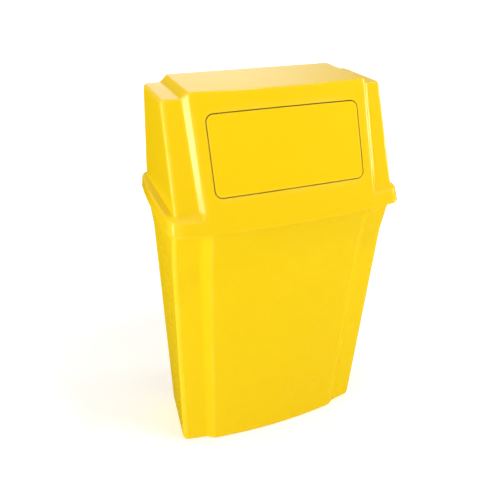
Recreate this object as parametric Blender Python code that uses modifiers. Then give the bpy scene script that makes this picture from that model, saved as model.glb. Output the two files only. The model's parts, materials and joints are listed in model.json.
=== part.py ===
"""Hooded push-door waste bin for yellow-bag laboratory waste.

A tapered moulded bin, a lift-off hood that sits over its rim, and a flush flap
door in the hood's sloping front.  The door hangs on a steel rod inside the
hood, is pressed shut by two torsion springs and can only be pushed inwards.

Frame: metres, +Z up, X to the right seen from the front, -Y is the front.
Origin: centre of the footprint's bounding box, on the floor.
"""

import math

import bmesh
import bpy
from mathutils import Matrix, Vector

# ---------------------------------------------------------------- dimensions
WIDTH = 0.502           # over the hood's skirt
DEPTH = 0.302           # over the hood's skirt
HEIGHT = 0.826          # floor to the top of the hood
WALL = 0.0032           # moulded wall
GAP = 0.0003            # clearance kept between neighbouring pieces

# bin body (half widths and depths of its plan outline)
Z_FLARE = 0.500         # where the wall starts to flare towards the rim
Z_NECK = 0.588          # top of the flare
Z_RIM = 0.6062          # top of the rim
RIM_DIP = 0.0105        # the rim is lower behind the hood's sloping front
FRONT_Y = (-0.0976, -0.1250, -0.1405)      # front centre at floor, flare, neck
BACK_Y = (0.0974, 0.1275, 0.1395)
SIDE_F = (0.2258, 0.2385, 0.2408)          # half width at the front corners
SIDE_B = (0.2098, 0.2250, 0.2345)          # half width at the rear corners
PANEL_X = (0.1570, 0.1680, 0.1700)         # half width of the front panel
PANEL_BOW = (0.44, 0.34, 0.29)             # y rise per x squared
STEP_X = (0.0155, 0.0175, 0.0165)          # chamfer beside the front panel
STEP_Y = (0.0115, 0.0140, 0.0125)
SHOULDER_SLOPE = 0.18
BODY_R_FRONT = (0.0135, 0.0100, 0.0100)
BODY_R_BACK = 0.021
FOOT_INSET = 0.0074     # rounding under the wall
FOOT_WIDTH = 0.016      # flat ring the bin stands on
FOOT_RISE = 0.0045      # floor panel is raised above the ring

# hood
Z_SKIRT = 0.584         # bottom edge of the skirt
Z_LIP = 0.588           # top of the small bead on that edge
Z_BAND = 0.6105         # top of the skirt's band
Z_WALL = 0.6172         # bottom of the hood's wall
Z_SHOULDER = 0.8125     # top of the lower shoulders
Z_TOP = HEIGHT          # top of the raised middle
TOP_Y = -0.0575         # front centre of the top edge
TOP_BOW = 0.358         # y rise per x squared, top edge
SKIRT_BOW = 0.269       # y rise per x squared, skirt edge
EDGE_IN = (0.1797, 0.1812)                 # chamfer's front edge at wall bottom, top
EDGE_OUT = (0.1910, 0.1950)                # chamfer's rear edge
SETBACK = (0.0127, 0.0155)                 # the shoulder stands this far behind
Z_POINT = 0.634         # below this the chamfer draws in to a point
SKIRT_X = (0.1850, 0.1868)                 # where the two edges meet the skirt
FLUSH = 0.0006          # step left there
HOOD_X = (0.2362, 0.2310)                  # half width at wall bottom, top
HOOD_TAPER = (0.0040, 0.0008)              # the wall draws in towards the back
HOOD_BACK = (0.1250, 0.1068)               # back at wall bottom, shoulder top
HOOD_R_FRONT = 0.0095
HOOD_R_BACK = 0.0125
SKIRT_R_FRONT = 0.029
SKIRT_R_BACK = 0.0228
SKIRT_TAPER = 0.440     # the skirt's sides draw in towards the back

# door, measured on the front's slope
DOOR_X = 0.1573         # half width
DOOR_Z = (0.6486, 0.7904)                  # lower and upper edge on the slope
DOOR_R = 0.014
DOOR_GAP = 0.0016       # visible line round the door
DOOR_SKIN = 0.0026
DOOR_DEEP = 0.0062      # depth of the turned-in edge
FLANGE = 0.0055         # stop flange behind the hood's wall
HINGE_Y = -0.0500
HINGE_Z = 0.7900
ROD_R = 0.0025
BORE_R = 0.0029
ROD_HALF = 0.1765
EAR_X = (0.1660, 0.1702)
LUG_X = ((0.118, 0.132), (0.034, 0.048))
LUG_R = 0.0062
SPRING_X = (0.1468, 0.1640)
SPRING_R = 0.0042
WIRE_R = 0.0008
NUT_R = 0.0056

SLOPE = math.atan2(TOP_Y + DEPTH / 2, Z_TOP - Z_SKIRT)

# ------------------------------------------------------------------ scene
for stale in list(bpy.data.objects):
    bpy.data.objects.remove(stale, do_unlink=True)

parts = bpy.data.collections.new("hooded_waste_bin")
cutters = bpy.data.collections.new("cutters")
bpy.context.scene.collection.children.link(parts)
bpy.context.scene.collection.children.link(cutters)
cutters.hide_render = True


def material(name, colour, roughness, metallic=0.0):
    mat = bpy.data.materials.new(name)
    mat.use_nodes = True
    shader = mat.node_tree.nodes["Principled BSDF"]
    shader.inputs["Base Color"].default_value = (*colour, 1.0)
    shader.inputs["Roughness"].default_value = roughness
    shader.inputs["Metallic"].default_value = metallic
    mat.diffuse_color = (*colour, 1.0)
    return mat


YELLOW_BODY = material("yellow_polyethylene_body", (0.95, 0.66, 0.004), 0.34)
YELLOW_HOOD = material("yellow_polyethylene_hood", (0.96, 0.69, 0.004), 0.32)
YELLOW_DOOR = material("yellow_polyethylene_door", (0.96, 0.68, 0.004), 0.32)
ROD_STEEL = material("zinc_plated_rod", (0.62, 0.62, 0.60), 0.30, 1.0)
SPRING_STEEL = material("spring_steel", (0.45, 0.45, 0.46), 0.35, 1.0)
NUT_STEEL = material("zinc_plated_push_nut", (0.60, 0.60, 0.58), 0.32, 1.0)


def place(name, mesh, mat, collection=parts):
    obj = bpy.data.objects.new(name, mesh)
    collection.objects.link(obj)
    if mat is not None:
        mesh.materials.append(mat)
    if collection is cutters:
        obj.hide_render = True
        obj.display_type = "WIRE"
    return obj


def finish_mesh(bm, name, smooth=None):
    bmesh.ops.recalc_face_normals(bm, faces=bm.faces)
    mesh = bpy.data.meshes.new(name)
    bm.to_mesh(mesh)
    bm.free()
    if smooth is not None:
        mesh.shade_smooth()
        mesh.set_sharp_from_angle(angle=math.radians(smooth))
    return mesh


def boolean(obj, other, operation, name):
    mod = obj.modifiers.new(name, "BOOLEAN")
    mod.operation = operation
    mod.solver = "EXACT"
    mod.object = other
    return mod


def mix(a, b, t):
    return a + (b - a) * t


def arc(cx, cy, r, start, end, count):
    """Points on an arc, angles in degrees, both ends included."""
    return [
        (
            cx + r * math.cos(math.radians(mix(start, end, i / count))),
            cy + r * math.sin(math.radians(mix(start, end, i / count))),
        )
        for i in range(count + 1)
    ]


# ------------------------------------------------------------------ bin body
def body_values(z):
    """The plan outline's measures at height z: straight taper, then a flare."""
    if z <= Z_FLARE:
        low, high, t = 0, 1, z / Z_FLARE
    else:
        t = min(1.0, (z - Z_FLARE) / (Z_NECK - Z_FLARE))
        low, high = 1, 2
    pick = lambda pair: mix(pair[low], pair[high], t)
    return {
        "front": pick(FRONT_Y), "back": pick(BACK_Y),
        "wf": pick(SIDE_F), "wb": pick(SIDE_B),
        "px": pick(PANEL_X), "bow": pick(PANEL_BOW),
        "sx": pick(STEP_X), "sy": pick(STEP_Y), "rf": pick(BODY_R_FRONT),
    }


def body_outline(z, inset=0.0):
    """Right half of the body's plan outline, front centre to back centre."""
    v = body_values(z)
    px = v["px"] - inset * 0.4
    pts = [
        (px * i / 6, v["front"] + inset + v["bow"] * (px * i / 6) ** 2)
        for i in range(7)
    ]
    yp = pts[-1][1]
    xs, ys = px + v["sx"], yp + v["sy"]
    pts.append((xs, ys))
    wf, wb = v["wf"] - inset, v["wb"] - inset
    rf, rb = max(0.004, v["rf"] - inset), max(0.006, BODY_R_BACK - inset)
    y_corner = ys + SHOULDER_SLOPE * (wf - rf - xs)
    pts += arc(wf - rf, y_corner + rf, rf, -78, 0, 4)
    yb = v["back"] - inset
    pts += arc(wb - rb, yb - rb, rb, 0, 90, 5)
    pts += [(wb * 0.45, yb), (0.0, yb)]
    return pts


def loft_half(loops, cap_first=False, cap_last=False):
    """Quads between matching half outlines, open at the plane x = 0."""
    bm = bmesh.new()
    rings = [[bm.verts.new(p) for p in loop] for loop in loops]
    for a, b in zip(rings, rings[1:]):
        for i in range(len(a) - 1):
            bm.faces.new((a[i], a[i + 1], b[i + 1], b[i]))
    if cap_first:
        bm.faces.new(rings[0])
    if cap_last:
        bm.faces.new(rings[-1])
    return bm, rings


def shell(obj, thickness):
    mirror = obj.modifiers.new("mirror", "MIRROR")
    mirror.use_axis = (True, False, False)
    mirror.use_clip = True
    mirror.merge_threshold = 0.0001
    solid = obj.modifiers.new("wall", "SOLIDIFY")
    solid.solidify_mode = "NON_MANIFOLD"
    solid.nonmanifold_thickness_mode = "CONSTRAINTS"
    solid.thickness = thickness
    solid.offset = -1.0
    return solid


levels = [
    (FOOT_RISE, FOOT_INSET + FOOT_WIDTH + 0.004),
    (0.0, FOOT_INSET + FOOT_WIDTH),
    (0.0, FOOT_INSET),
    (0.0025, 0.0025),
    (0.0086, 0.0),
    (0.25, 0.0),
    (Z_FLARE, 0.0),
    (mix(Z_FLARE, Z_NECK, 0.5), 0.0),
    (Z_NECK, 0.0),
    (Z_RIM, 0.0),
]
loops = [[(x, y, z) for x, y in body_outline(z, inset)] for z, inset in levels]
loops[-1] = [(x, y, z - RIM_DIP * min(1.0, max(0.0, (-0.118 - y) / 0.010))) for x, y, z in loops[-1]]
bm, rings = loft_half(loops, cap_first=True)
bin_body = place("bin_body", finish_mesh(bm, "bin_body", 30), YELLOW_BODY)
shell(bin_body, WALL)


# ---------------------------------------------------------------------- hood
def front_y(x, z):
    """The hood's sloping front: ruled between its bowed top and skirt edges."""
    t = (Z_TOP - z) / (Z_TOP - Z_SKIRT)
    top = TOP_Y + TOP_BOW * x * x
    low = -DEPTH / 2 + SKIRT_BOW * x * x
    return mix(top, low, t)


def hood_wall(z, top=False):
    """Right half of the hood's plan outline between wall bottom and top."""
    t = (z - Z_WALL) / (Z_SHOULDER - Z_WALL)
    setback = mix(SETBACK[0], SETBACK[1], t)
    near = 0.45 * max(0.0, (Z_POINT - z) / (Z_POINT - Z_WALL)) ** 2
    xi = mix(mix(EDGE_IN[0], EDGE_IN[1], t), SKIRT_X[0], near)
    xo = mix(mix(EDGE_OUT[0], EDGE_OUT[1], t), SKIRT_X[1], near)
    w = mix(HOOD_X[0], HOOD_X[1], t)
    yb = mix(HOOD_BACK[0], HOOD_BACK[1], t)
    pts = []
    for i in range(9):
        x = xi * i / 8
        zi = Z_TOP if top else z
        pts.append((x, front_y(x, zi), zi))
    y_out = front_y(xo, z) + setback
    pts.append((xo, y_out, z))
    y_corner = y_out + 0.10 * (w - HOOD_R_FRONT - xo)
    pts += [(x, y, z) for x, y in arc(w - HOOD_R_FRONT, y_corner + HOOD_R_FRONT, HOOD_R_FRONT, -84, 0, 3)]
    wr = w - mix(HOOD_TAPER[0], HOOD_TAPER[1], t)
    ya = pts[-1][1]
    pts += [(mix(w, wr, i / 4), mix(ya, yb - HOOD_R_BACK, i / 4), z) for i in (1, 2, 3)]
    pts += [(x, y, z) for x, y in arc(wr - HOOD_R_BACK, yb - HOOD_R_BACK, HOOD_R_BACK, 0, 90, 4)]
    pts.append((xo, yb, z))
    zi = Z_TOP if top else z
    yi = mix(HOOD_BACK[0], HOOD_BACK[1], (zi - Z_WALL) / (Z_SHOULDER - Z_WALL))
    pts += [(xi, yi, zi), (xi / 2, yi, zi), (0.0, yi, zi)]
    return pts


def skirt(z, inset):
    """Right half of the skirt's plan outline at height z."""
    xi, xo = SKIRT_X
    w = WIDTH / 2 - inset
    rf, rb = SKIRT_R_FRONT, SKIRT_R_BACK
    yb = DEPTH / 2 - inset
    half = lambda y: w - SKIRT_TAPER * max(0.0, y + 0.02) ** 2
    pts = [(xi * i / 8, front_y(xi * i / 8, z), z) for i in range(9)]
    y_out = front_y(xo, z) + FLUSH
    pts.append((xo, y_out, z))
    xc = w - rf
    y_corner = y_out + 0.12 * (xc - xo)
    pts += [(x, y, z) for x, y in arc(xc, y_corner + rf, rf, -83, 0, 3)]
    ya = pts[-1][1]
    side = [mix(ya, yb - rb, i / 4) for i in (1, 2, 3)]
    pts += [(half(y), y, z) for y in side]
    wr = half(yb - rb)
    pts += [(x, y, z) for x, y in arc(wr - rb, yb - rb, rb, 0, 90, 4)]
    pts += [(xo, yb, z), (xi, yb, z), (xi / 2, yb, z), (0.0, yb, z)]
    return pts


loops = [
    skirt(Z_SKIRT, 0.0),
    skirt(Z_LIP - 0.001, 0.0),
    skirt(Z_LIP, 0.0009),
    skirt(Z_BAND, 0.0026),
    hood_wall(Z_WALL),
    hood_wall(Z_POINT),
    hood_wall(Z_SHOULDER, top=True),
]
bm, rings = loft_half(loops)
top_ring = rings[-1]
middle = top_ring[:9] + top_ring[-3:]
shoulder = top_ring[9:-3]
bm.faces.new(middle)
bm.faces.new(shoulder)
bm.faces.new((top_ring[8], shoulder[0], shoulder[-1], top_ring[-3]))
hood = place("hood_shell", finish_mesh(bm, "hood_shell", 30), YELLOW_HOOD)
shell(hood, WALL)

# frame of the front's slope: origin at the door's centre, z' out of the face
door_mid_z = (DOOR_Z[0] + DOOR_Z[1]) / 2
slope_up = Vector((0, math.sin(SLOPE), math.cos(SLOPE)))
slope_out = Vector((0, -math.cos(SLOPE), math.sin(SLOPE)))
slope_mid = Vector((0, front_y(0, door_mid_z), door_mid_z))
DOOR_LONG = (DOOR_Z[1] - DOOR_Z[0]) / math.cos(SLOPE)
slope_frame = Matrix((
    (1, slope_up.x, slope_out.x, slope_mid.x),
    (0, slope_up.y, slope_out.y, slope_mid.y),
    (0, slope_up.z, slope_out.z, slope_mid.z),
    (0, 0, 0, 1),
))


def rounded_prism(name, left, right, low, high, radius, near, far):
    """A rounded rectangle on the slope, extruded from depth near to far."""
    corners = [
        (right - radius, low + radius, -90), (right - radius, high - radius, 0),
        (left + radius, high - radius, 90), (left + radius, low + radius, 180),
    ]
    outline = []
    for cx, cy, start in corners:
        outline += arc(cx, cy, radius, start, start + 90, 5)
    bm = bmesh.new()
    face = bm.faces.new([bm.verts.new((x, y, -far)) for x, y in outline])
    grown = bmesh.ops.extrude_face_region(bm, geom=[face])
    moved = [v for v in grown["geom"] if isinstance(v, bmesh.types.BMVert)]
    bmesh.ops.translate(bm, verts=moved, vec=(0, 0, far - near))
    obj = place(name, finish_mesh(bm, name), None, cutters)
    obj.matrix_world = slope_frame
    return obj


half_long = DOOR_LONG / 2
aperture = rounded_prism(
    "aperture_cutter", -DOOR_X - DOOR_GAP, DOOR_X + DOOR_GAP,
    -half_long - DOOR_GAP, half_long + DOOR_GAP, DOOR_R + DOOR_GAP, -0.03, 0.024)
boolean(hood, aperture, "DIFFERENCE", "aperture")


# ears inside the hood that carry the hinge rod
def ear(side):
    x0, x1 = (side * v for v in EAR_X)
    outline = [(front_y(EAR_X[0], HINGE_Z + 0.011) + 0.0018, HINGE_Z + 0.011),
               (front_y(EAR_X[0], HINGE_Z - 0.013) + 0.0018, HINGE_Z - 0.013)]
    outline += arc(HINGE_Y, HINGE_Z, 0.0068, -80, 70, 8)
    bm = bmesh.new()
    face = bm.faces.new([bm.verts.new((x0, y, z)) for y, z in outline])
    grown = bmesh.ops.extrude_face_region(bm, geom=[face])
    moved = [v for v in grown["geom"] if isinstance(v, bmesh.types.BMVert)]
    bmesh.ops.translate(bm, verts=moved, vec=(x1 - x0, 0, 0))
    label = "ear_left" if side < 0 else "ear_right"
    return place(label, finish_mesh(bm, label), None, cutters)


def rod_cutter(name, length, radius, count=24):
    bm = bmesh.new()
    bmesh.ops.create_cone(
        bm, cap_ends=True, segments=count, radius1=radius, radius2=radius, depth=length,
        matrix=Matrix.Translation((0, HINGE_Y, HINGE_Z)) @ Matrix.Rotation(math.pi / 2, 4, "Y"))
    return place(name, finish_mesh(bm, name), None, cutters)


for side in (-1, 1):
    boolean(hood, ear(side), "UNION", "ear")
ear_bore = rod_cutter("ear_bore_cutter", 0.36, BORE_R)
boolean(hood, ear_bore, "DIFFERENCE", "ear_bore")


# ---------------------------------------------------------------------- door
def slab(name, near, far, collection):
    """The front's own bowed sheet between two depths behind its face."""
    bm = bmesh.new()
    rows = (0.628, 0.812)
    columns = [i / 12 * 0.186 - 0.093 for i in range(13)]
    rings = []
    for depth in (near, far):
        shift = -depth * slope_out
        rings.append([
            [bm.verts.new(Vector((2 * x, front_y(2 * x, z), z)) + shift) for x in columns]
            for z in rows
        ])
    front, back = rings
    for i in range(len(columns) - 1):
        bm.faces.new((front[0][i], front[0][i + 1], front[1][i + 1], front[1][i]))
        bm.faces.new((back[0][i], back[1][i], back[1][i + 1], back[0][i + 1]))
        bm.faces.new((front[0][i], back[0][i], back[0][i + 1], front[0][i + 1]))
        bm.faces.new((front[1][i], front[1][i + 1], back[1][i + 1], back[1][i]))
    for i in (0, -1):
        bm.faces.new((front[0][i], front[1][i], back[1][i], back[0][i]))
    mesh = finish_mesh(bm, name, 30)
    return place(name, mesh, YELLOW_DOOR if collection is parts else None, collection)


door = slab("flap_door", 0.0, DOOR_DEEP, parts)
boolean(door, rounded_prism(
    "door_outline", -DOOR_X, DOOR_X, -half_long, half_long, DOOR_R, -0.03, 0.03), "INTERSECT", "outline")
flange = slab("door_flange", WALL + 0.0005, DOOR_DEEP, cutters)
boolean(flange, rounded_prism(
    "flange_outline", -DOOR_X - FLANGE, DOOR_X + FLANGE, -half_long - FLANGE, half_long - 0.020,
    DOOR_R, -0.03, 0.03), "INTERSECT", "outline")
boolean(door, flange, "UNION", "flange")
pocket = slab("door_pocket", DOOR_SKIN, DOOR_DEEP + 0.004, cutters)
boolean(pocket, rounded_prism(
    "pocket_outline", -DOOR_X + 0.004, DOOR_X - 0.004, -half_long + 0.004, half_long - 0.004,
    DOOR_R - 0.004, -0.03, 0.03), "INTERSECT", "outline")
boolean(door, pocket, "DIFFERENCE", "pocket")


def lug(x0, x1, name):
    """A hinge lug: from the door's skin back round the hinge rod."""
    y_skin = front_y((abs(x0) + abs(x1)) / 2, HINGE_Z - 0.011) + 0.0026
    outline = [(y_skin, HINGE_Z - 0.0085), (y_skin - 0.0058, HINGE_Z - 0.0240)]
    outline += arc(HINGE_Y, HINGE_Z, LUG_R, -105, 125, 11)
    bm = bmesh.new()
    face = bm.faces.new([bm.verts.new((x0, y, z)) for y, z in outline])
    grown = bmesh.ops.extrude_face_region(bm, geom=[face])
    moved = [v for v in grown["geom"] if isinstance(v, bmesh.types.BMVert)]
    bmesh.ops.translate(bm, verts=moved, vec=(x1 - x0, 0, 0))
    return place(name, finish_mesh(bm, name), None, cutters)


for index, (x0, x1) in enumerate(LUG_X):
    for side in (-1, 1):
        boolean(door, lug(side * x0, side * x1, "lug_%d_%s" % (index, "left" if side < 0 else "right")),
                "UNION", "lug")
boolean(door, rod_cutter("lug_bore_cutter", 0.34, BORE_R), "DIFFERENCE", "lug_bore")


# ------------------------------------------------------- rod, springs, nuts
hinge_axis = bpy.data.objects.new("hinge_axis", None)
parts.objects.link(hinge_axis)
hinge_axis.location = (0, HINGE_Y, HINGE_Z)

bm = bmesh.new()
bmesh.ops.create_cone(
    bm, cap_ends=True, segments=20, radius1=ROD_R, radius2=ROD_R, depth=2 * ROD_HALF,
    matrix=Matrix.Rotation(math.pi / 2, 4, "Y"))
rod = place("hinge_rod", finish_mesh(bm, "hinge_rod", 30), ROD_STEEL)
rod.parent = hinge_axis


def torsion_spring(name, side):
    """A coil round the rod, one leg up behind the hood, one down behind the door."""
    curve = bpy.data.curves.new(name, "CURVE")
    curve.dimensions = "3D"
    curve.bevel_depth = WIRE_R
    curve.bevel_resolution = 1
    curve.use_fill_caps = True
    curve.resolution_u = 1
    turns, per_turn = 7, 12
    x0, x1 = SPRING_X
    points = []
    start, sweep = math.radians(215), math.radians(360 * turns + 90)
    count = int(per_turn * turns)
    for i in range(count + 1):
        t = i / count
        a = start - sweep * t
        points.append((side * mix(x0, x1, t), SPRING_R * math.cos(a), SPRING_R * math.sin(a)))
    # the leg on the door reaches down and forward to the back of its skin
    first = Vector(points[0])
    tip_z = -0.0270
    tip_y = front_y(x0, HINGE_Z + tip_z) + DOOR_SKIN / math.cos(SLOPE) + WIRE_R * 1.5 - HINGE_Y
    leg = [(first.x, tip_y, tip_z)]
    # the leg on the hood reaches up and forward to the inside of its front wall
    last = Vector(points[-1])
    top_z = 0.0170
    top_y = front_y(x1, HINGE_Z + top_z) + WALL / math.cos(SLOPE) + WIRE_R * 1.5 - HINGE_Y
    up = [(last.x, top_y, top_z)]
    points = leg[::-1] + points + up
    spline = curve.splines.new("POLY")
    spline.points.add(len(points) - 1)
    for target, point in zip(spline.points, points):
        target.co = (*point, 1.0)
    obj = bpy.data.objects.new(name, curve)
    parts.objects.link(obj)
    curve.materials.append(SPRING_STEEL)
    obj.parent = hinge_axis
    return obj


torsion_spring("left_door_spring", -1)
torsion_spring("right_door_spring", 1)


def push_nut(name, side):
    """A domed push nut gripping the rod's end, turned from its profile."""
    profile = [
        (BORE_R - 0.0002, 0.0000), (NUT_R, 0.0000), (NUT_R, 0.0008),
        (0.0044, 0.0016), (0.0036, 0.0030), (BORE_R - 0.0002, 0.0030),
    ]
    bm = bmesh.new()
    verts = [bm.verts.new((r, 0.0, h)) for r, h in profile]
    for a, b in zip(verts, verts[1:] + verts[:1]):
        bm.edges.new((a, b))
    bmesh.ops.spin(bm, geom=bm.verts[:] + bm.edges[:], cent=(0, 0, 0), axis=(0, 0, 1),
                   angle=math.tau, steps=20, use_merge=True)
    bmesh.ops.remove_doubles(bm, verts=bm.verts, dist=0.00002)
    mesh = finish_mesh(bm, name, 35)
    obj = place(name, mesh, NUT_STEEL)
    obj.parent = hinge_axis
    obj.rotation_euler = (0, side * math.pi / 2, 0)
    obj.location = (side * (EAR_X[1] + GAP), 0, 0)
    return obj


push_nut("left_push_nut", -1)
push_nut("right_push_nut", 1)

# the door's own origin lies on the hinge axis
bpy.context.view_layer.update()
door.data.transform(Matrix.Translation((0, -HINGE_Y, -HINGE_Z)))
door.parent = hinge_axis
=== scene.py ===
"""Looks of the hooded push-door waste bin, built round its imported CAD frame."""

import json
import math

import bmesh
import bpy
from mathutils import Matrix, Vector


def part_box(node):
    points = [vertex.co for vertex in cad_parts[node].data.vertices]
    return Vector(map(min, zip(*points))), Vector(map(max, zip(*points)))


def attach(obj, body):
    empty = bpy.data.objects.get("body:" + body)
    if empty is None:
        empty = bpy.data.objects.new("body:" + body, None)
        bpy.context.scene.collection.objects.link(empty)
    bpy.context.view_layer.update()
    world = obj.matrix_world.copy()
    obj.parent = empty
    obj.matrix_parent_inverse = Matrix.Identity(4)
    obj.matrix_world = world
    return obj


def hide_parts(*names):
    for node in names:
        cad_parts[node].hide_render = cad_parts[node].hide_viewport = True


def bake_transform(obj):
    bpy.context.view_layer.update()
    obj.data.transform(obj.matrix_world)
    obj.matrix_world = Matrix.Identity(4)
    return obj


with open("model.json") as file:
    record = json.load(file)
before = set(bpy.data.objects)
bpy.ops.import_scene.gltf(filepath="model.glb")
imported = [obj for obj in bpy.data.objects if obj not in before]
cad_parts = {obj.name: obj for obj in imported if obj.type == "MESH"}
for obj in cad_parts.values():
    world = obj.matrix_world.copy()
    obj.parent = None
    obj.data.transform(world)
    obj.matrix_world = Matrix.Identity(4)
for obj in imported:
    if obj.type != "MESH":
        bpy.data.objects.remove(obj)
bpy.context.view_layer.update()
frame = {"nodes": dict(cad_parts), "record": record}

# ------------------------------------------------------------- measures
hood_low, hood_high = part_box("hood_shell")
body_low, body_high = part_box("bin_body")
rod_low, rod_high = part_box("hinge_rod")
hinge = next(j for j in frame["record"]["behaviour"]["joints"] if j["name"] == "door_hinge")
HINGE_Y, HINGE_Z = hinge["pos_m"][1], hinge["pos_m"][2]

WIDTH = 2 * round(hood_high.x, 4)
DEPTH = 2 * round(hood_high.y, 4)
Z_TOP = round(hood_high.z, 4)
Z_RIM = round(body_high.z, 4)
ROD_R = round((rod_high.z - rod_low.z) / 2, 4)
ROD_HALF = round(rod_high.x, 4)
WALL = 0.0032

Z_FLARE, Z_NECK = 0.500, 0.588
FRONT_Y = (-0.0976, -0.1250, -0.1405)
BACK_Y = (0.0974, 0.1275, 0.1395)
SIDE_F = (0.2258, 0.2385, 0.2408)
SIDE_B = (0.2098, 0.2250, 0.2345)
RIM_DIP = 0.0105
PANEL_X = (0.1570, 0.1680, 0.1700)
PANEL_BOW = (0.44, 0.34, 0.29)
STEP_X = (0.0155, 0.0175, 0.0165)
STEP_Y = (0.0115, 0.0140, 0.0125)
SHOULDER_SLOPE = 0.18
BODY_R_FRONT, BODY_R_BACK = (0.0135, 0.0100, 0.0100), 0.021
FOOT_RISE = 0.0045

Z_SKIRT, Z_LIP, Z_BAND, Z_WALL, Z_SHOULDER = 0.584, 0.588, 0.6105, 0.6172, 0.8125
TOP_Y, TOP_BOW, SKIRT_BOW = -0.0575, 0.358, 0.269
EDGE_IN, EDGE_OUT = (0.1797, 0.1812), (0.1910, 0.1950)
SETBACK = (0.0127, 0.0155)
Z_POINT, SKIRT_X, FLUSH = 0.634, (0.1850, 0.1868), 0.0006
HOOD_X, HOOD_TAPER = (0.2362, 0.2310), (0.0040, 0.0008)
HOOD_BACK = (0.1250, 0.1068)
HOOD_R_FRONT, HOOD_R_BACK, CROWN_R = 0.0095, 0.0125, 0.0075
SKIRT_R_FRONT, SKIRT_R_BACK = 0.029, 0.0228
SKIRT_TAPER = 0.440

DOOR_X, DOOR_Z, DOOR_R = 0.1573, (0.6486, 0.7904), 0.014
DOOR_GAP, DOOR_SKIN, DOOR_DEEP, FLANGE = 0.0016, 0.0026, 0.0062, 0.0055
BORE_R = 0.0029
EAR_X = (0.1660, 0.1702)
LUG_X = ((0.118, 0.132), (0.034, 0.048))
LUG_R = 0.0062
SPRING_X, SPRING_R, WIRE_R = (0.1468, 0.1640), 0.0042, 0.0008
NUT_R = 0.0056
GAP = 0.0003

SLOPE = math.atan2(TOP_Y + DEPTH / 2, Z_TOP - Z_SKIRT)


# -------------------------------------------------------------- helpers
def mix(a, b, t):
    return a + (b - a) * t


def arc(cx, cy, r, start, end, count):
    return [
        (
            cx + r * math.cos(math.radians(mix(start, end, i / count))),
            cy + r * math.sin(math.radians(mix(start, end, i / count))),
        )
        for i in range(count + 1)
    ]


def rounded(points, cuts, steps=5):
    """A polyline with the named corners turned into short smooth curves.

    cuts maps a point's index to how far from the corner its curve starts."""
    out = []
    for i, p in enumerate(points):
        p = Vector(p)
        if i not in cuts:
            out.append(p)
            continue
        a, b = Vector(points[i - 1]) - p, Vector(points[i + 1]) - p
        reach = min(cuts[i], 0.48 * a.length, 0.48 * b.length)
        a, b = p + a.normalized() * reach, p + b.normalized() * reach
        for k in range(steps + 1):
            t = k / steps
            out.append((1 - t) ** 2 * a + 2 * t * (1 - t) * p + t * t * b)
    return out


def closed(half):
    """Full outline from its right half, front centre to back centre."""
    return list(half) + [Vector((-p[0], *p[1:])) for p in reversed(half[1:-1])]


def skin(loops, cap_first=False, cap_last=False, ring=True, tube=False):
    """Quads between matching loops of points."""
    bm = bmesh.new()
    rows = [[bm.verts.new(p) for p in loop] for loop in loops]
    pairs = list(zip(rows, rows[1:]))
    if tube:
        pairs.append((rows[-1], rows[0]))
    for a, b in pairs:
        n = len(a)
        for i in range(n if ring else n - 1):
            k = (i + 1) % n
            bm.faces.new((a[i], a[k], b[k], b[i]))
    if cap_first:
        bm.faces.new(rows[0])
    if cap_last:
        bm.faces.new(rows[-1])
    return bm, rows


def new_object(name, bm):
    bmesh.ops.recalc_face_normals(bm, faces=bm.faces)
    mesh = bpy.data.meshes.new(name)
    bm.to_mesh(mesh)
    bm.free()
    obj = bpy.data.objects.new(name, mesh)
    bpy.context.scene.collection.objects.link(obj)
    return obj


def prism(name, outline, direction, length):
    bm = bmesh.new()
    face = bm.faces.new([bm.verts.new(p) for p in outline])
    grown = bmesh.ops.extrude_face_region(bm, geom=[face])
    moved = [v for v in grown["geom"] if isinstance(v, bmesh.types.BMVert)]
    bmesh.ops.translate(bm, verts=moved, vec=Vector(direction) * length)
    return new_object(name, bm)


def rod_shape(name, half_length, radius, count=40):
    bm = bmesh.new()
    bmesh.ops.create_cone(
        bm, cap_ends=True, segments=count, radius1=radius, radius2=radius, depth=2 * half_length,
        matrix=Matrix.Translation((0, HINGE_Y, HINGE_Z)) @ Matrix.Rotation(math.pi / 2, 4, "Y"))
    return new_object(name, bm)


def cut(obj, other, operation):
    mod = obj.modifiers.new("cut", "BOOLEAN")
    mod.operation = operation
    mod.solver = "EXACT"
    mod.object = other
    apply_modifiers(obj)
    bpy.data.objects.remove(other, do_unlink=True)


def apply_modifiers(obj):
    bpy.context.view_layer.update()
    graph = bpy.context.evaluated_depsgraph_get()
    mesh = bpy.data.meshes.new_from_object(obj.evaluated_get(graph))
    old = obj.data
    obj.modifiers.clear()
    obj.data = mesh
    mesh.name = obj.name
    bpy.data.meshes.remove(old)


def mark_edges(obj, spread=3):
    """Stores how near each vertex is to a turned edge, for wear and polish."""
    mesh = obj.data
    bm = bmesh.new()
    bm.from_mesh(mesh)
    bm.verts.ensure_lookup_table()
    turn = [0.0] * len(bm.verts)
    for e in bm.edges:
        if len(e.link_faces) == 2:
            length = max(e.calc_length(), 1e-6)
            width = sum(f.calc_area() for f in e.link_faces) / (2 * length)
            curve = e.calc_face_angle_signed(0.0) / max(width, 0.0004)
            value = max(0.0, min(1.0, curve / 220.0))
            for v in e.verts:
                turn[v.index] = max(turn[v.index], value)
    layer = mesh.attributes.new("edge_wear", "FLOAT", "POINT")
    layer.data.foreach_set("value", turn)
    bm.free()


def shade(obj, angle=32):
    mesh = obj.data
    mesh.shade_smooth()
    mesh.set_sharp_from_angle(angle=math.radians(angle))
    mod = obj.modifiers.new("normals", "WEIGHTED_NORMAL")
    mod.mode = "FACE_AREA"
    mod.weight = 80
    mod.keep_sharp = True


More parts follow.
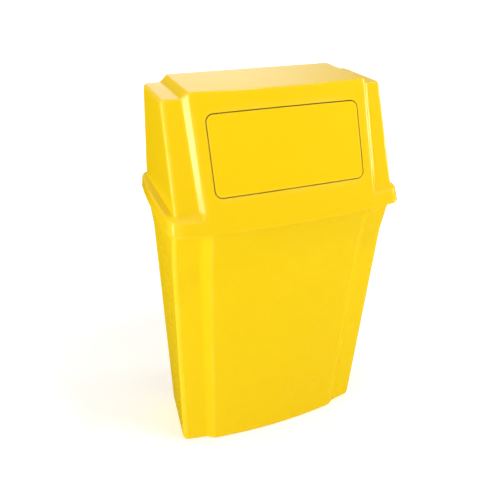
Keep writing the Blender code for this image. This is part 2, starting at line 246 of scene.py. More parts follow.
# ------------------------------------------------------------- bin body
def body_values(z):
    if z <= Z_FLARE:
        low, high, t = 0, 1, z / Z_FLARE
    else:
        t = min(1.0, (z - Z_FLARE) / (Z_NECK - Z_FLARE))
        low, high = 1, 2
    return [mix(pair[low], pair[high], t) for pair in
            (FRONT_Y, BACK_Y, SIDE_F, SIDE_B, PANEL_X, PANEL_BOW, STEP_X, STEP_Y, BODY_R_FRONT)]


def body_outline(z, inset=0.0, columns=18):
    front, back, wf, wb, px, bow, sx, sy, corner = body_values(z)
    px -= inset * 0.4
    pts = [(px * i / columns, front + inset + bow * (px * i / columns) ** 2, z) for i in range(columns + 1)]
    xs, ys = px + sx, pts[-1][1] + sy
    pts.append((xs, ys, z))
    wf, wb = wf - inset, wb - inset
    rf, rb = max(0.004, corner - inset), max(0.006, BODY_R_BACK - inset)
    y_corner = ys + SHOULDER_SLOPE * (wf - rf - xs)
    pts += [(x, y, z) for x, y in arc(wf - rf, y_corner + rf, rf, -78, 0, 12)]
    yb = back - inset
    xf, yf = pts[-1][0], pts[-1][1]
    for i in (1, 2, 3, 4, 5):
        pts.append((mix(xf, wb, i / 6), mix(yf, yb - rb, i / 6), z))
    pts += [(x, y, z) for x, y in arc(wb - rb, yb - rb, rb, 0, 90, 16)]
    pts += [(wb * s, yb, z) for s in (0.66, 0.44, 0.22, 0.0)]
    return closed(rounded(pts, {columns: 0.0055, columns + 1: 0.0060}))


levels = [(FOOT_RISE, 0.0262), (FOOT_RISE, 0.0250), (FOOT_RISE * 0.6, 0.0238), (0.0006, 0.0222), (0.0, 0.0208), (0.0, 0.0140)]
levels += [(0.0086 - y, 0.0086 - x) for x, y in arc(0, 0, 0.0086, 90, 0, 8)]
levels += [(mix(0.0086, Z_FLARE, i / 22), 0.0) for i in range(1, 22)]
levels += [(mix(Z_FLARE, Z_NECK, i / 14), 0.0) for i in range(15)]
levels += [(mix(Z_NECK, Z_RIM - WALL / 2, i / 3), 0.0) for i in (1, 2, 3)]
levels += [(Z_RIM - WALL / 2 + y, WALL / 2 - x) for x, y in arc(0, 0, WALL / 2, 22, 158, 6)]
levels += [(Z_RIM - WALL / 2, WALL)]
levels += [(mix(Z_NECK, Z_FLARE, i / 7), WALL) for i in range(8)]
levels += [(mix(Z_FLARE, 0.020, i / 10), WALL) for i in range(1, 11)]
floor_z = FOOT_RISE + WALL
levels += [(floor_z + 0.009 - y, WALL + 0.009 - x) for x, y in arc(0, 0, 0.009, 0, 90, 6)]
levels += [(floor_z, 0.034)]
loops = []
for z, inset in levels:
    outline = body_outline(z, inset)
    if z > Z_NECK:
        share = (z - Z_NECK) / (Z_RIM - Z_NECK)
        outline = [(x, y, h - RIM_DIP * share * min(1.0, max(0.0, (-0.118 - y) / 0.010))) for x, y, h in outline]
    loops.append(outline)
bm, rows = skin(loops, cap_first=True, cap_last=True)
body = new_object("bin_body_shell", bm)


# ----------------------------------------------------------------- hood
def front_y(x, z):
    t = (Z_TOP - z) / (Z_TOP - Z_SKIRT)
    return mix(TOP_Y + TOP_BOW * x * x, -DEPTH / 2 + SKIRT_BOW * x * x, t)


FRONT_N, CORNER_N, REAR_N = 18, 9, 12


def hood_wall(z, top=False):
    t = (z - Z_WALL) / (Z_SHOULDER - Z_WALL)
    setback = mix(SETBACK[0], SETBACK[1], t)
    near = 0.45 * max(0.0, (Z_POINT - z) / (Z_POINT - Z_WALL)) ** 2
    xi = mix(mix(EDGE_IN[0], EDGE_IN[1], t), SKIRT_X[0], near)
    xo = mix(mix(EDGE_OUT[0], EDGE_OUT[1], t), SKIRT_X[1], near)
    w = mix(HOOD_X[0], HOOD_X[1], t)
    yb = mix(HOOD_BACK[0], HOOD_BACK[1], t)
    zi = Z_TOP if top else z
    pts = [(xi * i / FRONT_N, front_y(xi * i / FRONT_N, zi), zi) for i in range(FRONT_N + 1)]
    y_out = front_y(xo, z) + setback
    pts.append((xo, y_out, z))
    y_corner = y_out + 0.10 * (w - HOOD_R_FRONT - xo)
    pts += [(x, y, z) for x, y in arc(w - HOOD_R_FRONT, y_corner + HOOD_R_FRONT, HOOD_R_FRONT, -84, 0, CORNER_N)]
    wr = w - mix(HOOD_TAPER[0], HOOD_TAPER[1], t)
    ya = pts[-1][1]
    pts += [(mix(w, wr, i / 8), mix(ya, yb - HOOD_R_BACK, i / 8), z) for i in range(1, 8)]
    pts += [(x, y, z) for x, y in arc(wr - HOOD_R_BACK, yb - HOOD_R_BACK, HOOD_R_BACK, 0, 90, REAR_N)]
    pts.append((xo, yb, z))
    yi = mix(HOOD_BACK[0], HOOD_BACK[1], (zi - Z_WALL) / (Z_SHOULDER - Z_WALL))
    pts += [(xi, yi, zi), (xi / 2, yi, zi), (0.0, yi, zi)]
    return pts


def skirt(z, inset):
    xi, xo = SKIRT_X
    w = WIDTH / 2 - inset
    yb = DEPTH / 2 - inset
    pts = [(xi * i / FRONT_N, front_y(xi * i / FRONT_N, z), z) for i in range(FRONT_N + 1)]
    y_out = front_y(xo, z) + FLUSH
    pts.append((xo, y_out, z))
    xc = w - SKIRT_R_FRONT
    y_corner = y_out + 0.12 * (xc - xo)
    pts += [(x, y, z) for x, y in arc(xc, y_corner + SKIRT_R_FRONT, SKIRT_R_FRONT, -83, 0, CORNER_N)]
    half = lambda y: w - SKIRT_TAPER * max(0.0, y + 0.02) ** 2
    ya = pts[-1][1]
    pts += [(half(y), y, z) for y in (mix(ya, yb - SKIRT_R_BACK, i / 8) for i in range(1, 8))]
    wr = half(yb - SKIRT_R_BACK)
    pts += [(x, y, z) for x, y in arc(wr - SKIRT_R_BACK, yb - SKIRT_R_BACK, SKIRT_R_BACK, 0, 90, REAR_N)]
    pts += [(xo, yb, z), (xi, yb, z), (xi / 2, yb, z), (0.0, yb, z)]
    return pts


profile = [
    skirt(Z_SKIRT, 0.0012), skirt(Z_SKIRT + 0.0014, 0.0), skirt(Z_LIP - 0.0010, 0.0), skirt(Z_LIP + 0.0004, 0.0010),
    skirt(Z_BAND, 0.0026), hood_wall(Z_WALL), hood_wall(0.6218), hood_wall(0.6270), hood_wall(Z_POINT),
]
wall_steps = 8
for i in range(1, wall_steps):
    profile.append(hood_wall(mix(Z_POINT, Z_SHOULDER - CROWN_R, i / wall_steps)))
side_first, side_last = FRONT_N + 2, FRONT_N + 2 + CORNER_N + 8 + REAR_N


def crown(angle):
    """Outline near the top: the shoulders' outer edge rolls over, the middle runs on up."""
    a = math.radians(angle)
    wall = hood_wall(Z_SHOULDER, top=True)
    lower = hood_wall(Z_SHOULDER - CROWN_R)
    out = []
    for i, (p, q) in enumerate(zip(wall, lower)):
        share = max(0.0, min(1.0, (i - side_first - 1) / (CORNER_N - 2))) if side_first <= i <= side_last + 1 else 0.0
        rise = angle / 90 if angle == 90 else 0.45 * angle / 68
        x, y, z = (mix(q[k], p[k], rise) for k in range(3))
        if share > 0.0:
            share = share * share * (3 - 2 * share)
            z = mix(z, Z_SHOULDER - CROWN_R * (1 - math.sin(a)), share)
            turn = max(0.0, min(1.0, (i - side_first) / CORNER_N))
            back = max(0.0, min(1.0, (i - (side_last - REAR_N)) / REAR_N))
            nx = math.cos((1 - turn) * math.pi / 2) * math.cos(back * math.pi / 2)
            ny = -math.sin((1 - turn) * math.pi / 2) + math.sin(back * math.pi / 2)
            inward = share * CROWN_R * (1 - math.cos(a))
            x, y = x - nx * inward, y - ny * inward
        out.append((x, y, z))
    return out


profile += [crown(a) for a in (0, 17, 34, 51, 68, 90)]
columns = [rounded(column, {1: 0.0005, 2: 0.0006, 3: 0.0012, 4: 0.0042, 5: 0.0050}, 4)
           for column in zip(*profile)]
half_loops = list(zip(*columns))
bm, rows = skin([closed(loop) for loop in half_loops])
top = rows[-1]
half = len(half_loops[0])
index = {"xi": FRONT_N, "mid": FRONT_N + 1, "mid_back": half - 4, "xi_back": half - 3}
full = len(top)
mirror = lambda i: (full - i) % full
right_middle = list(range(0, index["xi"] + 1))
back_middle = list(range(index["xi_back"], half))
order = right_middle + back_middle + [mirror(i) for i in reversed(back_middle[:-1])] + [mirror(i) for i in reversed(right_middle[1:])]
bm.faces.new([top[i] for i in order])
for side in (lambda i: i, mirror):
    shoulder = [side(i) for i in range(index["mid"], index["mid_back"] + 1)]
    bm.faces.new([top[i] for i in shoulder])
    bm.faces.new([top[side(i)] for i in (index["xi"], index["mid"], index["mid_back"], index["xi_back"])])

weights = bm.edges.layers.float.new("bevel_weight_edge")
for r, row in enumerate(rows[:-1]):
    for i in (index["xi"], mirror(index["xi"]), index["mid"], mirror(index["mid"])):
        edge = bm.edges.get((row[i], rows[r + 1][i]))
        edge[weights] = 0.80 * min(1.0, max(0.0, (rows[r + 1][0].co.z - 0.6195) / 0.014))
for a, b in [(i, (i + 1) % full) for i in range(full)]:
    edge = bm.edges.get((top[a], top[b]))
    outer = min(a, (full - a) % full), min(b, (full - b) % full)
    edge[weights] = 0.0 if min(outer) > index["mid"] + 4 and max(outer) <= index["mid_back"] else 0.45
for side in (lambda i: i, mirror):
    for a, b in (("xi", "xi_back"), ("mid", "mid_back")):
        edge = bm.edges.get((top[side(index[a])], top[side(index[b])]))
        edge[weights] = 0.60
hood = new_object("hood_shell_moulding", bm)
bevel = hood.modifiers.new("rounded_edges", "BEVEL")
bevel.limit_method = "WEIGHT"
bevel.width = 0.0045
bevel.segments = 5
bevel.use_clamp_overlap = False
bevel.miter_outer = "MITER_SHARP"
solid = hood.modifiers.new("wall", "SOLIDIFY")
solid.thickness = WALL
solid.offset = -1.0
solid.use_even_offset = True
solid.use_quality_normals = True
apply_modifiers(hood)

# the slope: x across, s up the slope, depth behind its bowed face
door_mid_z = (DOOR_Z[0] + DOOR_Z[1]) / 2
slope_up = Vector((0, math.sin(SLOPE), math.cos(SLOPE)))
slope_out = Vector((0, -math.cos(SLOPE), math.sin(SLOPE)))
slope_mid = Vector((0, front_y(0, door_mid_z), door_mid_z))
half_long = (DOOR_Z[1] - DOOR_Z[0]) / math.cos(SLOPE) / 2


def on_slope(x, s, depth):
    p = slope_mid + Vector((x, 0, 0)) + slope_up * s
    y0, y1 = front_y(x, p.z), front_y(x, p.z + slope_out.z)
    out = (y0 - p.y) / (slope_out.y - (y1 - y0))
    return p + slope_out * (out - depth)


def door_outline(grow, top_grow=None):
    """Rounded rectangle of the door on the slope, larger by grow all round."""
    a, low = DOOR_X + grow, -half_long - grow
    high = half_long + (grow if top_grow is None else top_grow)
    r = max(0.002, DOOR_R + grow)
    pts = []
    for cx, cy, start, (tx, ty), n in (
            (a - r, low + r, -90, (a, high - r), 10), (a - r, high - r, 0, (-a + r, high), 32),
            (-a + r, high - r, 90, (-a, low + r), 10), (-a + r, low + r, 180, (a - r, low), 32)):
        pts += arc(cx, cy, r, start, start + 90, 10)
        x0, y0 = pts[-1]
        pts += [(mix(x0, tx, i / n), mix(y0, ty, i / n)) for i in range(1, n)]
    return pts


def slope_loop(outline, depth):
    return [on_slope(x, s, depth) for x, s in outline]


lip = 0.0007
cutter_loops = [(lip + 0.0010, -0.0040), (lip, -0.0003), (lip, 0.0)]
cutter_loops += [(lip - y, lip - x) for x, y in arc(0, 0, lip, 70, 0, 4)][::1]
cutter_loops = [(0.0030, -0.0100), (lip + 0.0004, -0.0006)]
cutter_loops += [(lip * (1 - math.sin(a)), lip * (1 - math.cos(a))) for a in (0.18, 0.5, 0.85, 1.2, math.pi / 2)]
cutter_loops += [(0.0, WALL + 0.010)]
bm, rows = skin([slope_loop(door_outline(DOOR_GAP + g), d) for g, d in cutter_loops], cap_first=True, cap_last=True)
cut(hood, new_object("aperture_cutter", bm), "DIFFERENCE")

for side in (-1, 1):
    x0, x1 = (side * v for v in EAR_X)
    outline = [(x0, front_y(EAR_X[0], HINGE_Z + 0.011) + 0.0018, HINGE_Z + 0.011),
               (x0, front_y(EAR_X[0], HINGE_Z - 0.013) + 0.0018, HINGE_Z - 0.013)]
    outline += [(x0, y, z) for y, z in arc(HINGE_Y, HINGE_Z, 0.0068, -80, 70, 18)]
    cut(hood, prism("ear", outline, (1, 0, 0), x1 - x0), "UNION")
cut(hood, rod_shape("ear_bore", 0.18, BORE_R), "DIFFERENCE")

# ----------------------------------------------------------------- door
edge_r = 0.0008
rings = [(t, 0.0) for t in (0.004, 0.02, 0.06, 0.15, 0.3, 0.45, 0.6, 0.72, 0.82, 0.90, 0.95, 0.98)]
loops = []
rim_face = door_outline(-edge_r)
for t, depth in rings:
    loops.append([on_slope(x * t, s * t, 0.0) for x, s in rim_face])
loops += [slope_loop(door_outline(-edge_r * (1 - math.sin(a))), edge_r * (1 - math.cos(a)))
          for a in (0.0, 0.4, 0.8, 1.2, math.pi / 2)]
loops += [slope_loop(door_outline(0.0), d) for d in (0.0020, 0.0034, DOOR_DEEP)]
loops += [slope_loop(door_outline(-0.0040), DOOR_DEEP), slope_loop(door_outline(-0.0043), 0.0042),
          slope_loop(door_outline(-0.0052), DOOR_SKIN + 0.0003), slope_loop(door_outline(-0.0064), DOOR_SKIN)]
inner = door_outline(-0.0064)
for t in (0.96, 0.9, 0.8, 0.7, 0.55, 0.4, 0.25, 0.12, 0.05, 0.015, 0.004):
    loops.append([on_slope(x * t, s * t, DOOR_SKIN) for x, s in inner])
bm, rows = skin(loops, cap_first=True, cap_last=True)
door = new_object("flap_door_panel", bm)


def u_path(grow):
    """Left side, bottom and right side of the outline, top ends cut off."""
    a, low, r = DOOR_X + grow, -half_long - grow, max(0.003, DOOR_R + grow)
    top_end = half_long - 0.020
    pts = [(-a, mix(top_end, low + r, i / 9)) for i in range(9)]
    pts += arc(-a + r, low + r, r, 180, 270, 9)
    pts += [(mix(-a + r, a - r, i / 32), low) for i in range(1, 32)]
    pts += arc(a - r, low + r, r, -90, 0, 9)
    pts += [(a, mix(low + r, top_end, i / 9)) for i in range(1, 10)]
    return pts


sections = []
for outer, inside in zip(u_path(FLANGE), u_path(-0.0022)):
    sections.append([on_slope(*outer, WALL + 0.0005), on_slope(*outer, DOOR_DEEP),
                     on_slope(*inside, DOOR_DEEP - 0.0004), on_slope(*inside, WALL + 0.0009)])
bm, rows = skin(sections, cap_first=True, cap_last=True)
cut(door, new_object("door_flange", bm), "UNION")

for x0, x1 in LUG_X:
    for side in (-1, 1):
        y_skin = front_y((x0 + x1) / 2, HINGE_Z - 0.011) + 0.0026
        outline = [(side * x0, y_skin, HINGE_Z - 0.0085), (side * x0, y_skin - 0.0058, HINGE_Z - 0.0240)]
        outline += [(side * x0, y, z) for y, z in arc(HINGE_Y, HINGE_Z, LUG_R, -105, 125, 26)]
        cut(door, prism("lug", outline, (1, 0, 0), side * (x1 - x0)), "UNION")
cut(door, rod_shape("lug_bore", 0.16, BORE_R), "DIFFERENCE")

# ------------------------------------------------ rod, springs, push nuts
bm = bmesh.new()
rim = [(0.0, -ROD_HALF), (ROD_R - 0.0005, -ROD_HALF), (ROD_R, -ROD_HALF + 0.0005)]
rim += [(ROD_R, mix(-ROD_HALF, ROD_HALF, i / 24)) for i in range(1, 24)]
rim += [(ROD_R, ROD_HALF - 0.0005), (ROD_R - 0.0005, ROD_HALF), (0.0, ROD_HALF)]
line = [bm.verts.new((r, 0, h)) for r, h in rim]
for a, b in zip(line, line[1:]):
    bm.edges.new((a, b))
bmesh.ops.spin(bm, geom=bm.verts[:] + bm.edges[:], cent=(0, 0, 0), axis=(0, 0, 1), angle=math.tau, steps=32, use_merge=True)
bmesh.ops.remove_doubles(bm, verts=bm.verts, dist=0.00002)
bmesh.ops.transform(bm, verts=bm.verts, matrix=Matrix.Translation((0, HINGE_Y, HINGE_Z)) @ Matrix.Rotation(math.pi / 2, 4, "Y"))
rod = new_object("hinge_rod_turned", bm)


def torsion_spring(name, side):
    curve = bpy.data.curves.new(name, "CURVE")
    curve.dimensions = "3D"
    curve.bevel_depth = WIRE_R
    curve.bevel_resolution = 4
    curve.use_fill_caps = True
    turns, per_turn = 7, 28
    x0, x1 = SPRING_X
    start, sweep = math.radians(215), math.radians(360 * turns + 90)
    count = per_turn * turns
    coil = []
    for i in range(count + 1):
        t = i / count
        a = start - sweep * t
        coil.append(Vector((side * mix(x0, x1, t), SPRING_R * math.cos(a), SPRING_R * math.sin(a))))
    tip_z, top_z = -0.0270, 0.0170
    tip_y = front_y(x0, HINGE_Z + tip_z) + DOOR_SKIN / math.cos(SLOPE) + WIRE_R * 1.5 - HINGE_Y
    top_y = front_y(x1, HINGE_Z + top_z) + WALL / math.cos(SLOPE) + WIRE_R * 1.5 - HINGE_Y
    points = [Vector((coil[0].x, tip_y, tip_z))] + coil + [Vector((coil[-1].x, top_y, top_z))]
    points = rounded(points, {1: 0.0012, len(points) - 2: 0.0012}, 5)
    spline = curve.splines.new("POLY")
    spline.points.add(len(points) - 1)
    for target, p in zip(spline.points, points):
        target.co = (p.x, p.y + HINGE_Y, p.z + HINGE_Z, 1.0)
    tmp = bpy.data.objects.new(name + "_wire", curve)
    bpy.context.scene.collection.objects.link(tmp)
    bpy.context.view_layer.update()
    mesh = bpy.data.meshes.new_from_object(tmp.evaluated_get(bpy.context.evaluated_depsgraph_get()))
    bpy.data.objects.remove(tmp, do_unlink=True)
    obj = bpy.data.objects.new(name, mesh)
    mesh.name = name
    bpy.context.scene.collection.objects.link(obj)
    return obj


def push_nut(name, side):
    """A domed spring-steel cap with a turned rim."""
    section = [(BORE_R - 0.0002, 0.0), (0.0050, 0.0), (NUT_R - 0.0002, 0.0001), (NUT_R, 0.0004), (NUT_R - 0.0002, 0.0008),
               (0.0049, 0.0011), (0.0044, 0.0016), (0.0040, 0.0024), (0.0036, 0.0029), (0.0032, 0.0030), (BORE_R - 0.0002, 0.0030)]
    bm = bmesh.new()
    ring = [bm.verts.new((r, 0.0, h)) for r, h in section]
    for a, b in zip(ring, ring[1:] + ring[:1]):
        bm.edges.new((a, b))
    bmesh.ops.spin(bm, geom=bm.verts[:] + bm.edges[:], cent=(0, 0, 0), axis=(0, 0, 1), angle=math.tau, steps=48, use_merge=True)
    bmesh.ops.remove_doubles(bm, verts=bm.verts, dist=0.00002)
    place = Matrix.Translation((side * (EAR_X[1] + GAP), HINGE_Y, HINGE_Z)) @ Matrix.Rotation(side * math.pi / 2, 4, "Y")
    bmesh.ops.transform(bm, verts=bm.verts, matrix=place)
    return new_object(name, bm)


springs = [torsion_spring("left_torsion_spring", -1), torsion_spring("right_torsion_spring", 1)]
nuts = [push_nut("left_push_nut_cap", -1), push_nut("right_push_nut_cap", 1)]


# ------------------------------------------------------------ materials
class Nodes:
    """Small helper for building one material's node tree."""

    def __init__(self, name):
        self.mat = bpy.data.materials.new(name)
        self.mat.use_nodes = True
        self.tree = self.mat.node_tree
        self.shader = self.tree.nodes["Principled BSDF"]
        self.coords = self.add("ShaderNodeTexCoord").outputs["Object"]

    def add(self, kind, **settings):
        node = self.tree.nodes.new(kind)
        for key, value in settings.items():
            setattr(node, key, value)
        return node

    def put(self, value, socket):
        if isinstance(value, bpy.types.NodeSocket):
            self.tree.links.new(value, socket)
        else:
            socket.default_value = value

    def noise(self, scale, detail=3.0, rough=0.5, stretch=None):
        coords = self.coords
        if stretch:
            mapping = self.add("ShaderNodeMapping")
            mapping.inputs["Scale"].default_value = stretch
            mapping.inputs["Rotation"].default_value = (0.3, 0.5, 0.9)
            self.put(coords, mapping.inputs["Vector"])
            coords = mapping.outputs["Vector"]
        node = self.add("ShaderNodeTexNoise")
        node.inputs["Scale"].default_value = scale
        node.inputs["Detail"].default_value = detail
        node.inputs["Roughness"].default_value = rough
        self.put(coords, node.inputs["Vector"])
        return node.outputs["Fac"]

    def remap(self, value, a, b, c, d):
        node = self.add("ShaderNodeMapRange")
        node.clamp = True
        self.put(value, node.inputs["Value"])
        for key, v in zip(("From Min", "From Max", "To Min", "To Max"), (a, b, c, d)):
            node.inputs[key].default_value = v
        return node.outputs["Result"]

    def math(self, operation, a, b):
        node = self.add("ShaderNodeMath", operation=operation)
        self.put(a, node.inputs[0])
        self.put(b, node.inputs[1])
        return node.outputs[0]

    def blend(self, factor, a, b):
        node = self.add("ShaderNodeMix", data_type="RGBA")
        self.put(factor, node.inputs[0])
        self.put(a, node.inputs[6])
        self.put(b, node.inputs[7])
        return node.outputs[2]

    def bump(self, height, distance, strength=1.0, normal=None):
        node = self.add("ShaderNodeBump")
        node.inputs["Strength"].default_value = strength
        node.inputs["Distance"].default_value = distance
        self.put(height, node.inputs["Height"])
        if normal is not None:
            self.put(normal, node.inputs["Normal"])
        return node.outputs["Normal"]


def gap_shade_zone(n):
    """Mask for the painted shade in the narrow gap round the door: 1 inside the gap, 0 elsewhere, from the piece's
    own coordinates.
    """
    split = n.add("ShaderNodeSeparateXYZ")
    n.put(n.coords, split.inputs[0])
    x, y, z = split.outputs
    t = n.remap(z, Z_SKIRT, Z_TOP, 1.0, 0.0)
    square = n.math("MULTIPLY", x, x)
    top = n.math("ADD", n.math("MULTIPLY", square, TOP_BOW), TOP_Y)
    low = n.math("ADD", n.math("MULTIPLY", square, SKIRT_BOW), -DEPTH / 2)
    face = n.math("ADD", top, n.math("MULTIPLY", n.math("SUBTRACT", low, top), t))
    depth = n.math("MULTIPLY", n.math("SUBTRACT", y, face), math.cos(SLOPE))
    rise = n.math("ADD", n.math("MULTIPLY", n.math("SUBTRACT", z, slope_mid.z), math.cos(SLOPE)),
                  n.math("MULTIPLY", n.math("SUBTRACT", y, slope_mid.y), math.sin(SLOPE)))
    qx = n.math("SUBTRACT", n.math("ABSOLUTE", x, 0.0), DOOR_X - DOOR_R)
    qs = n.math("SUBTRACT", n.math("ABSOLUTE", rise, 0.0), half_long - DOOR_R)
    ox, os = n.math("MAXIMUM", qx, 0.0), n.math("MAXIMUM", qs, 0.0)
    far = n.math("SQRT", n.math("ADD", n.math("MULTIPLY", ox, ox), n.math("MULTIPLY", os, os)), 0.0)
    away = n.math("SUBTRACT", n.math("ADD", far, n.math("MINIMUM", n.math("MAXIMUM", qx, qs), 0.0)), DOOR_R + DOOR_GAP / 2)
    near = n.remap(n.math("ABSOLUTE", away, 0.0), DOOR_GAP * 0.80, DOOR_GAP * 1.25, 1.0, 0.0)
    deep = n.remap(depth, -0.0002, 0.0003, 0.0, 1.0)
    return n.math("MULTIPLY", near, n.math("MULTIPLY", deep, n.remap(depth, 0.0064, 0.0080, 1.0, 0.0)))


def plastic(name, base, deep, pale, rough, shine, gap=False):
    """Moulded polyethylene: slight colour drift, fine grain, scuffs and polished edges; with gap set, painted shade
    in the gap round the door.
    """
    n = Nodes(name)
    edge = n.add("ShaderNodeAttribute", attribute_name="edge_wear").outputs["Fac"]
    drift = n.remap(n.noise(2.4, 1.0), 0.30, 0.72, 0.0, 1.0)
    mottle = n.remap(n.noise(38.0, 4.0, 0.6), 0.35, 0.68, 0.0, 0.35)
    colour = n.blend(n.math("MULTIPLY", drift, 0.32), (*base, 1), (*deep, 1))
    colour = n.blend(n.math("MULTIPLY", mottle, 0.10), colour, (*deep, 1))
    worn = n.math("MULTIPLY", edge, n.remap(n.noise(26.0, 3.0), 0.36, 0.62, 0.25, 0.75))
    colour = n.blend(n.math("MULTIPLY", worn, 0.30), colour, (*pale, 1))
    if gap:
        # painted shade: the gap round the door is coloured a darker brown-yellow where shade falls in it, and made
        # rougher there
        gap_shade_mask = gap_shade_zone(n)
        colour = n.blend(n.math("MULTIPLY", gap_shade_mask, 0.85), colour, (0.62, 0.41, 0.001, 1))
    n.put(colour, n.shader.inputs["Base Color"])

    scuff = n.remap(n.noise(9.0, 5.0, 0.62), 0.42, 0.70, 0.0, 1.0)
    scratch = n.remap(n.noise(120.0, 2.0, 0.5, stretch=(1.0, 0.06, 0.9)), 0.66, 0.80, 0.0, 1.0)
    value = n.math("ADD", rough, n.math("MULTIPLY", scuff, 0.012))
    value = n.math("ADD", value, n.math("MULTIPLY", scratch, 0.02))
    value = n.math("SUBTRACT", value, n.math("MULTIPLY", edge, 0.05))
    if gap:
        value = n.math("ADD", value, n.math("MULTIPLY", gap_shade_mask, 0.50))
    n.put(value, n.shader.inputs["Roughness"])

    grain = n.noise(620.0, 2.0, 0.5)
    peel = n.noise(34.0, 2.0, 0.4)
    fine = n.bump(grain, 0.000014, 0.7)
    wavy = n.bump(peel, 0.00003, 0.5, fine)
    n.put(n.bump(scratch, 0.000004, 0.5, wavy), n.shader.inputs["Normal"])

    n.shader.inputs["IOR"].default_value = 1.5
    n.shader.inputs["Specular IOR Level"].default_value = shine
    n.shader.inputs["Subsurface Weight"].default_value = 0.0
    n.mat.diffuse_color = (*base, 1)
    return n.mat


def steel(name, base, tarnish, rough, lines):
    """Plated or drawn steel: patches of tarnish, drawing lines and small pits."""
    n = Nodes(name)
    patch = n.remap(n.noise(160.0, 4.0, 0.6), 0.42, 0.68, 0.0, 1.0)
    n.put(n.blend(n.math("MULTIPLY", patch, 0.6), (*base, 1), (*tarnish, 1)), n.shader.inputs["Base Color"])
    draw = n.noise(900.0, 2.0, 0.5, stretch=lines)
    value = n.math("ADD", rough, n.math("MULTIPLY", patch, 0.14))
    n.put(n.math("ADD", value, n.math("MULTIPLY", draw, 0.10)), n.shader.inputs["Roughness"])
    n.put(n.bump(draw, 0.00002, 0.7, n.bump(n.noise(1400.0, 2.0), 0.00002, 0.5)), n.shader.inputs["Normal"])
    n.shader.inputs["Metallic"].default_value = 1.0
    n.mat.diffuse_color = (*base, 1)
    return n.mat


pale = (0.99, 0.86, 0.30)
body_mat = plastic("yellow_polyethylene_body", (0.950, 0.650, 0.0012), (0.920, 0.600, 0.0012), pale, 0.27, 0.11)
hood_mat = plastic("yellow_polyethylene_hood", (0.930, 0.618, 0.0012), (0.905, 0.575, 0.0012), pale, 0.19, 0.20, gap=True)
door_mat = plastic("yellow_polyethylene_door", (0.935, 0.625, 0.0012), (0.910, 0.585, 0.0012), pale, 0.22, 0.16, gap=True)
rod_mat = steel("zinc_plated_rod", (0.66, 0.66, 0.64), (0.50, 0.49, 0.45), 0.22, (0.04, 1.0, 1.0))
spring_mat = steel("spring_steel_wire", (0.52, 0.52, 0.53), (0.36, 0.35, 0.34), 0.26, (1.0, 0.2, 1.0))
nut_mat = steel("zinc_plated_push_nut", (0.64, 0.64, 0.61), (0.47, 0.46, 0.42), 0.24, (1.0, 1.0, 0.3))

for obj, node, rides, slot, mat, wear in (
        (body, "bin_body", "bin", "body_plastic", body_mat, True),
        (hood, "hood_shell", "hood", "hood_plastic", hood_mat, True),
        (door, "flap_door", "door", "door_plastic", door_mat, True),
        (rod, "hinge_rod", "hood", "rod_steel", rod_mat, False),
        (springs[0], "left_door_spring", "hood", "spring_steel", spring_mat, False),
        (springs[1], "right_door_spring", "hood", "spring_steel", spring_mat, False),
        (nuts[0], "left_push_nut", "hood", "nut_steel", nut_mat, False),
        (nuts[1], "right_push_nut", "hood", "nut_steel", nut_mat, False)):
    if wear:
        mark_edges(obj)
    obj.data.materials.clear()
    obj.data.materials.append(mat)
    shade(obj)
    if node.endswith("door_spring"):
        # one leg of the coil rests on the hood, the other on the door; the spring is baked in place and not attached
        # to either body
        side = -1 if node.startswith("left") else 1
        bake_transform(obj)
    else:
        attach(obj, rides)
    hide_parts(node)
    frame["nodes"][node].data.materials.clear()
    frame["nodes"][node].data.materials.append(mat)

# ------------------------------------------------- floor, light, camera
bm = bmesh.new()
bmesh.ops.create_grid(bm, x_segments=1, y_segments=1, size=15.0)
floor = new_object("studio_floor", bm)
floor.location.z = -0.0004
paper = Nodes("studio_paper")
tone = paper.remap(paper.noise(2.0, 2.0), 0.3, 0.7, 0.90, 0.94)
shade_node = paper.add("ShaderNodeCombineColor")
for socket in shade_node.inputs[:3]:
    paper.put(tone, socket)
paper.put(shade_node.outputs[0], paper.shader.inputs["Base Color"])
paper.shader.inputs["Roughness"].default_value = 0.9
paper.shader.inputs["Specular IOR Level"].default_value = 0.0
# painted light: the floor glows, 0.30 within 0.5 m of the centre rising to 0.80 at 2.2 m, standing in for light
# falling on it and bouncing onto the bin
paper.shader.inputs["Emission Color"].default_value = (1, 1, 1, 1)
reach = paper.add("ShaderNodeVectorMath", operation="LENGTH")
paper.put(paper.coords, reach.inputs[0])
paper.put(paper.remap(reach.outputs["Value"], 0.5, 2.2, 0.30, 0.80), paper.shader.inputs["Emission Strength"])
floor.data.materials.append(paper.mat)
floor.visible_glossy = False

# a white studio dome behind everything; it is only seen, it neither lights nor shades
bm = bmesh.new()
bmesh.ops.create_icosphere(bm, subdivisions=4, radius=14.0)
dome = new_object("studio_backdrop", bm)
cloth = Nodes("studio_white")
cloth.shader.inputs["Base Color"].default_value = (0, 0, 0, 1)
cloth.shader.inputs["Specular IOR Level"].default_value = 0.0
cloth.shader.inputs["Emission Color"].default_value = (1, 1, 1, 1)
cloth.shader.inputs["Emission Strength"].default_value = 1.05
dome.data.materials.append(cloth.mat)
dome.visible_diffuse = dome.visible_glossy = dome.visible_transmission = False
dome.visible_shadow = False

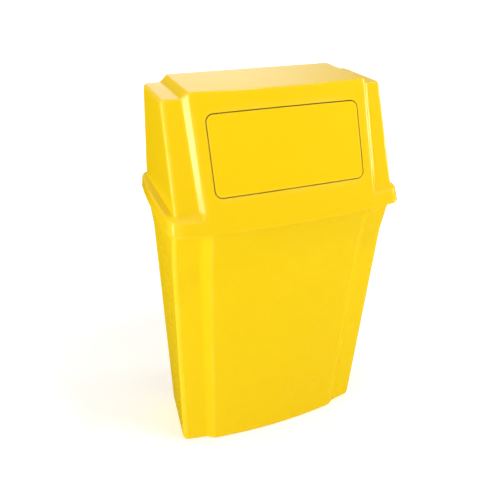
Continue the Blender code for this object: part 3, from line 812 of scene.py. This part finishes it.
world = bpy.data.worlds.new("studio")
bpy.context.scene.world = world
world.use_nodes = True
tree = world.node_tree
background = tree.nodes["Background"]
direction = tree.nodes.new("ShaderNodeTexCoord")
split = tree.nodes.new("ShaderNodeSeparateXYZ")
tree.links.new(direction.outputs["Generated"], split.inputs[0])
ramp = tree.nodes.new("ShaderNodeMapRange")
ramp.inputs["From Min"].default_value = -0.08
ramp.inputs["From Max"].default_value = 0.05
ramp.inputs["To Min"].default_value = 0.02
ramp.inputs["To Max"].default_value = 0.45
tree.links.new(split.outputs["Z"], ramp.inputs["Value"])
toward = tree.nodes.new("ShaderNodeVectorMath")
toward.operation = "DOT_PRODUCT"
toward.inputs[1].default_value = (0.236, 0.946, 0.224)
tree.links.new(direction.outputs["Generated"], toward.inputs[0])
rear = tree.nodes.new("ShaderNodeValToRGB")
stops = rear.color_ramp.elements
stops[0].position, stops[0].color = 0.50, (0.35, 0.35, 0.35, 1)
stops[1].position, stops[1].color = 0.992, (1.0, 1.0, 1.0, 1)
for position, level in ((0.66, 0.10), (0.88, 0.10), (0.945, 0.34)):
    stop = stops.new(position)
    stop.color = (level, level, level, 1)
tree.links.new(toward.outputs["Value"], rear.inputs["Fac"])
gain = tree.nodes.new("ShaderNodeMath")
gain.operation = "MULTIPLY"
gain.inputs[1].default_value = 3.36
tree.links.new(rear.outputs["Color"], gain.inputs[0])
strength = tree.nodes.new("ShaderNodeMath")
strength.operation = "MULTIPLY"
tree.links.new(ramp.outputs["Result"], strength.inputs[0])
tree.links.new(gain.outputs[0], strength.inputs[1])
tree.links.new(strength.outputs[0], background.inputs["Strength"])
background.inputs["Color"].default_value = (1, 1, 1, 1)


def softbox(name, position, target, size, radiance):
    """A rectangular soft light; radiance is what a reflection of it shows."""
    lamp = bpy.data.lights.new(name, "AREA")
    lamp.shape = "RECTANGLE"
    lamp.size, lamp.size_y = size
    lamp.energy = radiance * size[0] * size[1] * math.pi
    lamp.spread = math.pi
    obj = bpy.data.objects.new(name, lamp)
    bpy.context.scene.collection.objects.link(obj)
    obj.location = position
    obj.rotation_mode = "QUATERNION"
    obj.rotation_quaternion = (Vector(target) - Vector(position)).to_track_quat("-Z", "Y")
    return obj


middle = (0.0, 0.0, 0.45)
softbox("key_softbox", (0.6, -0.90, 2.9), middle, (0.40, 0.28), 56.0)
softbox("left_strip", (-2.4, -0.36, 0.90), (0, 0, 0.75), (0.30, 0.76), 30.0)
softbox("right_strip", (2.4, -0.42, 1.00), (0, 0, 0.70), (0.32, 0.66), 26.0)
softbox("top_softbox", (0.0, 0.4, 2.8), (0, 0, 0.4), (1.8, 1.8), 0.85)

right = Vector((0.923743, -0.38259718, 0.01784013))
down = Vector((-0.17138947, -0.45455999, -0.87407143))
forward = Vector((0.34252667, 0.80435975, -0.48546973))
camera_data = bpy.data.cameras.new("camera")
camera_data.lens = 42.70
camera_data.sensor_width = 36.0
camera_data.clip_start, camera_data.clip_end = 0.01, 100.0
camera = bpy.data.objects.new("camera", camera_data)
bpy.context.scene.collection.objects.link(camera)
camera.matrix_world = Matrix((
    (right.x, -down.x, -forward.x, -0.49016226),
    (right.y, -down.y, -forward.y, -1.0631033),
    (right.z, -down.z, -forward.z, 1.09490717),
    (0, 0, 0, 1),
))
bpy.context.scene.camera = camera
bpy.context.scene.view_settings.view_transform = "Standard"
bpy.context.scene.view_settings.look = "None"
